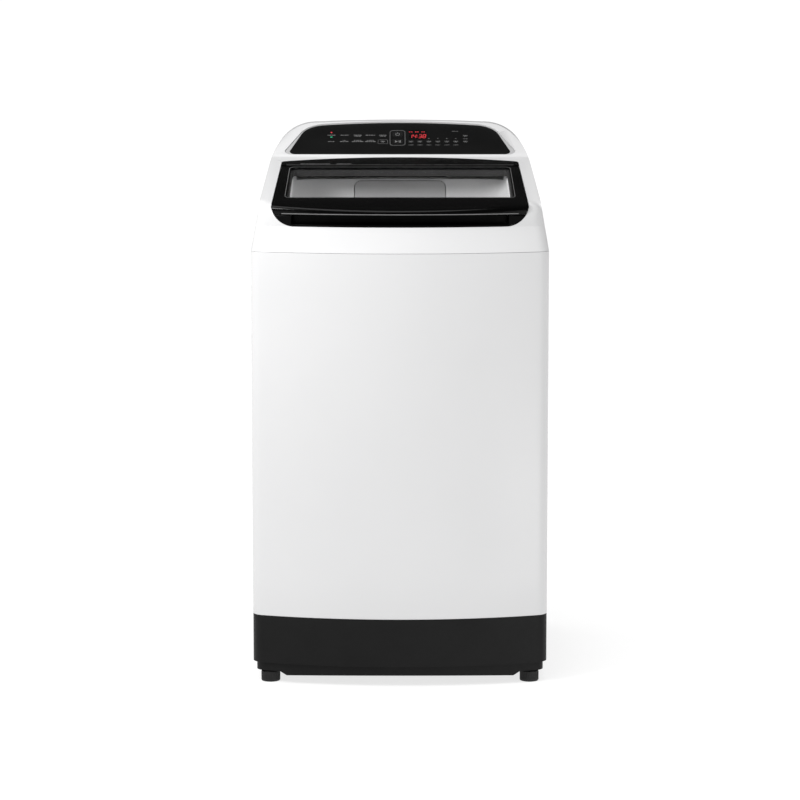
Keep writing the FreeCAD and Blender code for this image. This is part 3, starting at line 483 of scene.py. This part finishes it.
def make_pulsator():
    bottom, top = disc_low.z / MM, disc_high.z / MM
    reach = disc_high.x / MM
    steps = 180
    radii = [2, 8, 14, 20, 24, 27, 30, 34, 40, 48, 56, 64, 72, 82, 92, 102, 112, 122, 132, 140, 148, 154, 159,
             162, 164.2, reach]
    turns = [2 * math.pi * k / steps for k in range(steps)]
    bm = bmesh.new()
    rows = []
    for r in radii:
        row = []
        for angle in turns:
            swept = angle - VANE_SWEEP * math.sin(math.pi * r / reach)
            vane = max(math.cos(VANES * swept), 0.0) ** 2.2
            height = VANE_HEIGHT * vane * smooth_step(r, 26, 46) * (1 - smooth_step(r, 128, 160))
            band = smooth_step(r, 132, 140) * (1 - smooth_step(r, 150, 158))
            ripple = RIPPLE_HEIGHT * max(math.cos(RIPPLES * angle), 0.0) * band
            hub = 1 - smooth_step(r, 24, 68)
            dome = (top - 1.0 - bottom - DISC_RISE) * hub
            cap = 0.8 * (1 - smooth_step(r, 22, 25))
            edge = -1.6 * smooth_step(r, 160, reach)
            z = min(bottom + DISC_RISE + dome + height * (1 - 0.6 * hub) + ripple + cap + edge, top)
            row.append(flat_place(r * math.cos(angle), r * math.sin(angle), z))
        rows.append(row)
    for r, z in ((reach, bottom + 1.2), (reach - 1.2, bottom), (60.0, bottom), (10.0, bottom)):
        rows.append([flat_place(r * math.cos(angle), r * math.sin(angle), z) for angle in turns])
    made = loft_rows(bm, rows)
    bm.faces.new(list(reversed(made[0])))
    bm.faces.new(made[-1])
    slot = NODE_SLOT["pulsator"]
    piece = add_piece("pulsator_disc", bm, SLOT_MATERIALS[slot], "pulsator", 50.0)
    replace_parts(piece, "pulsator")


# ---- levelling feet ----
FOOT_X = 238.0           # to either side of the middle
FRONT_FOOT_Y = -222.0
REAR_FOOT_Y = 240.0
PAD_TOP = 20.0
STEM_TOP = 70.0


def foot_mesh(bm, x, y):
    """One foot: a fluted pad and a threaded stem."""
    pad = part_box("front_foot_left")
    radius = (pad[1].x - pad[0].x) / 2 / MM
    profile = [(radius - 3.0, 0.0), (radius - 0.8, 0.6), (radius, 2.4), (radius, 5.0), (radius - 0.2, 6.0),
               (radius, 7.5), (radius, PAD_TOP - 3.5), (radius - 0.6, PAD_TOP - 1.2), (radius - 2.2, PAD_TOP),
               (10.0, PAD_TOP + 2.6), (9.0, PAD_TOP + 4.6), (5.0, PAD_TOP + 4.9)]
    lathe(bm, profile, x, y, 96, 24, 0.9, (5, 6))
    thread = []
    z = PAD_TOP + 3.0
    while z < STEM_TOP:
        thread += [(4.3, z), (4.95, z + 0.6), (4.3, z + 1.2)]
        z += 1.5
    lathe(bm, thread, x, y, 24)


def make_feet():
    for name, body, x in (("foot_pad_left", "left_foot", -FOOT_X), ("foot_pad_right", "right_foot", FOOT_X)):
        bm = bmesh.new()
        foot_mesh(bm, x, FRONT_FOOT_Y)
        node = "front_foot_left" if x < 0 else "front_foot_right"
        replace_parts(add_piece(name, bm, FOOT_RUBBER, body), node)
    bm = bmesh.new()
    for x in (-FOOT_X, FOOT_X):
        foot_mesh(bm, x, REAR_FOOT_Y)
    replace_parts(add_piece("foot_pads_rear", bm, FOOT_RUBBER, "cabinet"), "rear_feet")


# ---- rear sheet with pressed beads ----
BEAD_DEPTH = 3.2
UPRIGHT_BEADS = ((-195.0, 200, 690), (158.0, 150, 690))    # x, from z, to z
LEVEL_BEADS = (600.0, 640.0, 680.0, 200.0, 170.0)          # z
LEVEL_BEAD_HALF = 105.0
UPRIGHT_FLANK = (4.0, 9.0)   # distance from a bead's middle at which its flank starts and ends
LEVEL_FLANK = (3.0, 7.5)


def bead_depth(x, z):
    """Depth of the pressed beads: two long uprights, and level ribs above and below the access cover."""
    value = 0.0
    for centre, start, end in UPRIGHT_BEADS:
        along = max(start - z, z - end, 0.0)
        value = max(value, 1 - smooth_step(math.hypot(abs(x - centre), along), *UPRIGHT_FLANK))
    for centre in LEVEL_BEADS:
        along = max(abs(x) - LEVEL_BEAD_HALF, 0.0)
        value = max(value, 1 - smooth_step(math.hypot(abs(z - centre), along), *LEVEL_FLANK))
    return value * BEAD_DEPTH


def make_rear_sheet():
    x0, x1 = rear_low.x / MM, rear_high.x / MM
    z0, z1 = rear_low.z / MM, rear_high.z / MM
    face_y = rear_high.y / MM
    columns, rows = 150, 186
    across = [x0 + (x1 - x0) * i / columns for i in range(columns + 1)]
    bm = bmesh.new()
    sheets = []
    for offset in (0.0, -1.0):
        grid = []
        for j in range(rows + 1):
            z = z0 + (z1 - z0) * j / rows
            grid.append([bm.verts.new(flat_place(x, face_y + offset + bead_depth(x, z), z)) for x in across])
        for j in range(rows):
            for i in range(columns):
                bm.faces.new((grid[j][i], grid[j][i + 1], grid[j + 1][i + 1], grid[j + 1][i]))
        sheets.append(grid)
    front, back = sheets
    rim = [(j, 0) for j in range(rows + 1)] + [(rows, i) for i in range(1, columns + 1)]
    rim += [(j, columns) for j in range(rows - 1, -1, -1)] + [(0, i) for i in range(columns - 1, 0, -1)]
    for k, (j, i) in enumerate(rim):
        jj, ii = rim[(k + 1) % len(rim)]
        bm.faces.new((front[j][i], front[jj][ii], back[jj][ii], back[j][i]))
    slot = NODE_SLOT["rear_panel"]
    piece = add_piece("rear_sheet", bm, SLOT_MATERIALS[slot], "cabinet")
    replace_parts(piece, "rear_panel")


# ---- marks on the console: generic ticks, lights and digits, no lettering ----
PANEL_N = -2.0           # the panel's face, its keys and its glass, along the slope's normal
KEY_N = -1.6
GLASS_N = -2.2
PRINT = 0.12             # how far a printed mark stands out
SINK = 0.02              # how far its underside lies in the surface


def tick_row(bm, x, t, width, height, pattern, n=PANEL_N, place=on_panel):
    """A row of short rounded ticks, whose lengths follow the pattern."""
    gap = 0.9
    unit = (width - gap * (len(pattern) - 1)) / sum(pattern)
    left = x - width / 2
    for weight in pattern:
        half = unit * weight / 2
        tick = rounded_outline(left + half, t, half, height / 2, 0.5, 2)
        raise_outline(bm, tick, n - SINK, n + PRINT, place)
        left += 2 * half + gap


# places on the panel: x across, t up the slope
LABEL_COLUMNS = (-132.0, -107.0, -81.5, -57.0, -33.0)
OPTION_COLUMNS = (21.0, 38.2, 55.4, 72.6, 89.8, 107.0)
RIGHT_COLUMN = 125.5
UPPER_LABEL_T = 73.0
KEY_T = 48.0
# outer and inner outline of the two printed frames: x, t, half width, half height, corner radius
PANEL_FRAMES = (((-4.8, 62.5, 14.8, 29.0, 7.0), (-4.8, 62.5, 14.0, 28.0, 6.2)),
                ((-33.0, KEY_T, 9.4, 8.0, 2.5), (-33.0, KEY_T, 8.9, 7.4, 2.0)))


def make_panel_marks():
    bm = bmesh.new()
    for column, (x, width) in enumerate(zip(LABEL_COLUMNS, (15.0, 15.0, 15.0, 18.0, 14.0))):
        tick_row(bm, x, UPPER_LABEL_T, width, 2.6, (2, 1, 2, 1) if column % 2 else (1, 2, 1, 2))
        if column in (2, 4):
            tick_row(bm, x, 69.0, width * 0.8, 2.2, (1, 2, 2))
    for x, width in zip(LABEL_COLUMNS[:4], (12.0, 16.0, 22.0, 20.0)):
        tick_row(bm, x, 48.5, width, 2.6, (2, 1, 1, 2))
    for x, width in zip(LABEL_COLUMNS[1:4], (9.0, 20.0, 20.0)):
        tick_row(bm, x, 53.0, width * 0.7, 2.0, (1, 2, 1))
    for x in OPTION_COLUMNS[2:]:
        tick_row(bm, x, 60.5, 3.0, 1.6, (1,))
    for x in OPTION_COLUMNS:
        tick_row(bm, x, 35.5, 9.0, 1.6, (1, 2, 1))
    tick_row(bm, 106.0, 88.0, 12.0, 1.8, (1, 2, 1, 1))
    tick_row(bm, RIGHT_COLUMN, 59.0, 8.0, 1.5, (1, 1))
    add_piece("panel_marks", bm, PRINT_GREY, "cabinet")
    bm = bmesh.new()
    for outer, inner in PANEL_FRAMES:
        raise_ring(bm, rounded_outline(*outer, 6), rounded_outline(*inner, 6),
                   PANEL_N - SINK, PANEL_N + PRINT, on_panel)
    add_piece("panel_outlines", bm, RIM_GREY, "cabinet")


KEY_PLACES = {"power_key": (-4.6, 76.0), "start_key": (-4.6, KEY_T), "course_key": (-33.0, KEY_T),
              "delay_key": (RIGHT_COLUMN, 70.0), "child_lock_key": (RIGHT_COLUMN, KEY_T)}
for number, column in enumerate(OPTION_COLUMNS):
    KEY_PLACES["option_key_%d" % (number + 1)] = (column, KEY_T)


def key_symbol(bm, name, x, t):
    """A generic mark for one key."""
    level = (KEY_N - SINK, KEY_N + PRINT, on_panel)
    if name == "power_key":
        turns = [math.radians(125 + 290 * k / 24) for k in range(25)]
        outer = [(x + 4.2 * math.cos(a), t + 5.4 * math.sin(a)) for a in turns]
        inner = [(x + 3.3 * math.cos(a), t + 4.4 * math.sin(a)) for a in turns]
        raise_outline(bm, outer + list(reversed(inner)), *level)
        raise_outline(bm, rounded_outline(x, t + 4.2, 0.5, 3.0, 0.4, 2), *level)
    elif name == "start_key":
        raise_outline(bm, [(x - 5.0, t - 4.0), (x + 0.5, t), (x - 5.0, t + 4.0)], *level)
        for shift in (3.0, 5.4):
            raise_outline(bm, rounded_outline(x + shift, t, 0.7, 4.0, 0.4, 2), *level)
    else:
        tick_row(bm, x, t + 0.8, 8.0, 2.2, (1, 2, 1), KEY_N)
        tick_row(bm, x, t - 2.4, 5.0, 1.4, (1, 1), KEY_N)


def make_key_symbols():
    """One piece per key, which rides on its key."""
    for name, (x, t) in KEY_PLACES.items():
        bm = bmesh.new()
        key_symbol(bm, name, x, t)
        add_piece(name.replace("_key", "_symbol"), bm, PRINT_PALE, name)


SEGMENTS = {"1": "bc", "3": "abgcd", "4": "fgbc", "8": "abcdefg"}
DIGITS_N = GLASS_N + 0.02


def digit(bm, symbol, x, t, half_w, half_h, stroke, n):
    """A seven-segment digit made of pointed bars; each bar has a place and may be level."""
    spots = {"a": (0, 1, True), "g": (0, 0, True), "d": (0, -1, True), "f": (-1, 0.5, False),
             "b": (1, 0.5, False), "e": (-1, -0.5, False), "c": (1, -0.5, False)}
    lean = 0.08              # sideways per unit of height
    for letter in SEGMENTS[symbol]:
        sx, st, level = spots[letter]
        cx, ct = x + sx * half_w, t + st * half_h
        long_half = (half_w if level else half_h / 2) - 0.25
        w = stroke / 2
        shape = [(-long_half, 0), (-long_half + w, -w), (long_half - w, -w), (long_half, 0),
                 (long_half - w, w), (-long_half + w, w)]
        if not level:
            shape = [(-v, u) for u, v in shape]
        outline = [(cx + u + lean * (ct + v - t), ct + v) for u, v in shape]
        raise_outline(bm, outline, n, n + 0.15, on_panel)


def make_lights():
    bm = bmesh.new()
    for symbol, x in zip("1438", (20.5, 28.2, 38.6, 46.8)):
        digit(bm, symbol, x, 69.5, 2.6, 6.6, 1.7, DIGITS_N)
    for t in (66.0, 73.0):
        raise_outline(bm, rounded_outline(33.4, t, 0.7, 0.9, 0.5, 3), DIGITS_N, GLASS_N + 0.15, on_panel)
    for x in (20.5, 32.5, 44.5):
        tick_row(bm, x, 86.0, 7.0, 2.4, (1, 1), GLASS_N)
    add_piece("display_digits", bm, RED_LIGHT, "cabinet")
    for name, material, t, half_w, half_h in (("indicator_red", RED_LIGHT, 83.5, 1.9, 2.4),
                                              ("indicator_green", GREEN_LIGHT, 66.0, 2.2, 2.2)):
        bm = bmesh.new()
        lens = rounded_outline(LABEL_COLUMNS[0], t, half_w, half_h, 1.9, 5)
        raise_outline(bm, lens, PANEL_N - SINK, PANEL_N + 0.2, on_panel, 0.2)
        add_piece(name, bm, material, "cabinet")


# ---- a fine bead round the lid window, and grey strips that paint highlights on the lid's nose and on the band behind it ----
def window_outline(grow):
    """The lid window's outline on the slope, with rounded corners."""
    half_front, half_rear = 207.0 + grow, 204.5 + grow
    front, rear = 77.6 - grow, 279.8 + grow
    radius = 8.0 + grow
    corners = ((half_rear - radius, rear - radius), (-half_rear + radius, rear - radius),
               (-half_front + radius, front + radius), (half_front - radius, front + radius))
    points = []
    for number, (x, s) in enumerate(corners):
        for k in range(7):
            angle = math.pi / 2 * (number + k / 6)
            points.append((x + radius * math.cos(angle), s + radius * math.sin(angle)))
    return points


LID_HALF = 214.0
BEAD_ROOT = -0.6         # how deep a bead starts in the lid
BAND_MARKS_S = 304.5


def make_beads():
    bm = bmesh.new()
    raise_ring(bm, window_outline(3.4), window_outline(2.4), BEAD_ROOT, 0.14, on_lid)
    add_piece("window_bead", bm, RIM_GREY, "lid")
    bm = bmesh.new()
    # a thin grey strip across the band: a painted highlight of the lid's rear edge
    raise_outline(bm, rounded_outline(0.0, 297.4, LID_HALF, 0.5, 0.4, 3), BEAD_ROOT, 0.12, on_lid)
    add_piece("band_highlight_strip", bm, RIM_GREY, "cabinet")
    bm = bmesh.new()
    tick_row(bm, -160.0, BAND_MARKS_S, 56.0, 3.0, (2, 1, 1, 2, 1, 1, 1, 2), 0.0, on_lid)
    tick_row(bm, -106.0, BAND_MARKS_S, 28.0, 3.0, (1, 2, 1, 2), 0.0, on_lid)
    add_piece("band_marks", bm, PRINT_GREY, "cabinet")


def make_lip_highlight_strip():
    """A fine grey strip along the bottom of the lid's nose, which follows the bowed front; it paints the
    highlight that the nose's lower edge catches.
    """
    nose_front, lift = -257.0, 0.16
    low, high = 861.0, 862.4
    bm = bmesh.new()
    rows = []
    for k in range(61):
        x = -LID_HALF + 2 * LID_HALF * k / 60
        y = nose_front + BOW_R - math.sqrt(BOW_R ** 2 - x * x)
        taper = min(1.0, (LID_HALF - abs(x)) / 12.0 + 0.15)
        rows.append([flat_place(x, y - d * lift, z) for d, z in
                     ((-1.5, low), (0.3, low), (taper, 861.4), (taper, 861.9), (0.3, high), (-1.5, high))])
    made = loft_rows(bm, rows)
    bm.faces.new(list(reversed(made[0])))
    bm.faces.new(made[-1])
    add_piece("lip_highlight_strip", bm, RIM_GREY, "lid")


make_lip_highlight_strip()
make_cabinet_skin()
make_drum()
make_pulsator()
make_feet()
make_rear_sheet()
make_panel_marks()
make_key_symbols()
make_lights()
make_beads()


# ---- stage, light and camera ----
def make_floor():
    """A pale round floor that gives off some light of its own."""
    mesh = bpy.data.meshes.new("studio_floor")
    sides = 64
    reach = 240.0            # metres
    ring = [(reach * math.cos(2 * math.pi * k / sides), reach * math.sin(2 * math.pi * k / sides), 0.0)
            for k in range(sides)]
    mesh.from_pydata(ring, [], [list(range(sides))])
    floor = bpy.data.objects.new("studio_floor", mesh)
    bpy.context.scene.collection.objects.link(floor)
    pale = surface("pale_floor", grey(0.28), grey(0.30), (0.7, 0.8), 0.5, 40.0, 0.00001,
                   Specular_IOR_Level=0.1, Emission_Color=(1, 1, 1, 1), Emission_Strength=0.74)
    mesh.materials.append(pale)


def make_sun(name, strength, angle, toward):
    """A sun lamp; its angle, in degrees, sets how soft its shadows are."""
    light = bpy.data.lights.new(name, "SUN")
    light.energy = strength
    light.angle = math.radians(angle)
    lamp = bpy.data.objects.new(name, light)
    lamp.rotation_euler = Vector(toward).to_track_quat("-Z", "Y").to_euler()
    bpy.context.scene.collection.objects.link(lamp)


def make_softbox(name, place, target, width, height, power):
    """A rectangular light at a place, aimed at a target; metres and watts."""
    light = bpy.data.lights.new(name, "AREA")
    light.shape = "RECTANGLE"
    light.size = width
    light.size_y = height
    light.energy = power
    lamp = bpy.data.objects.new(name, light)
    lamp.location = place
    lamp.rotation_euler = (Vector(target) - Vector(place)).to_track_quat("-Z", "Y").to_euler()
    bpy.context.scene.collection.objects.link(lamp)


def make_world(bright, reflected, seen):
    """An even studio: reflections see a darker one, as black flags give, and the eye a white backdrop."""
    world = bpy.data.worlds.new("studio_world")
    world.use_nodes = True
    tree = world.node_tree
    background = tree.nodes["Background"]
    background.inputs["Color"].default_value = (1, 1, 1, 1)
    rays = tree.nodes.new("ShaderNodeLightPath")
    level = tree.nodes.new("ShaderNodeMapRange")
    level.inputs["To Min"].default_value = bright
    level.inputs["To Max"].default_value = reflected
    tree.links.new(rays.outputs["Is Glossy Ray"], level.inputs["Value"])
    backdrop = tree.nodes.new("ShaderNodeMapRange")
    backdrop.inputs["To Max"].default_value = seen
    tree.links.new(rays.outputs["Is Camera Ray"], backdrop.inputs["Value"])
    tree.links.new(level.outputs["Result"], backdrop.inputs["To Min"])
    tree.links.new(backdrop.outputs["Result"], background.inputs["Strength"])
    bpy.context.scene.world = world


CAMERA_PITCH = math.radians(8.0)
CAMERA_DISTANCE = 6.0      # metres
AIM_HEIGHT = 0.490         # metres
SENSOR_WIDTH = 36.0
FOCAL_IN_WIDTHS = 3.965    # focal length over the picture's width


def make_camera():
    camera = bpy.data.cameras.new("camera")
    camera.sensor_width = SENSOR_WIDTH
    camera.lens = SENSOR_WIDTH * FOCAL_IN_WIDTHS
    camera.clip_end = 600.0
    rig = bpy.data.objects.new("camera", camera)
    rig.location = (0.0, -CAMERA_DISTANCE * math.cos(CAMERA_PITCH),
                    AIM_HEIGHT + CAMERA_DISTANCE * math.sin(CAMERA_PITCH))
    rig.rotation_euler = (math.pi / 2 - CAMERA_PITCH, 0.0, 0.0)
    bpy.context.scene.collection.objects.link(rig)
    bpy.context.scene.camera = rig


make_floor()
make_world(0.87, 0.03, 1.0)
make_sun("top_sun", 0.95, 40.0, (0.15, 0.15, -1.0))
make_softbox("left_softbox", (-1.25, -1.15, 1.70), (-0.1, -0.2, 0.90), 0.7, 0.7, 24.0)
make_softbox("right_low_softbox", (1.0, -1.2, 0.15), (0.2, -0.27, 0.15), 0.5, 0.4, 2.4)
make_camera()
bpy.context.scene.view_settings.view_transform = "Standard"
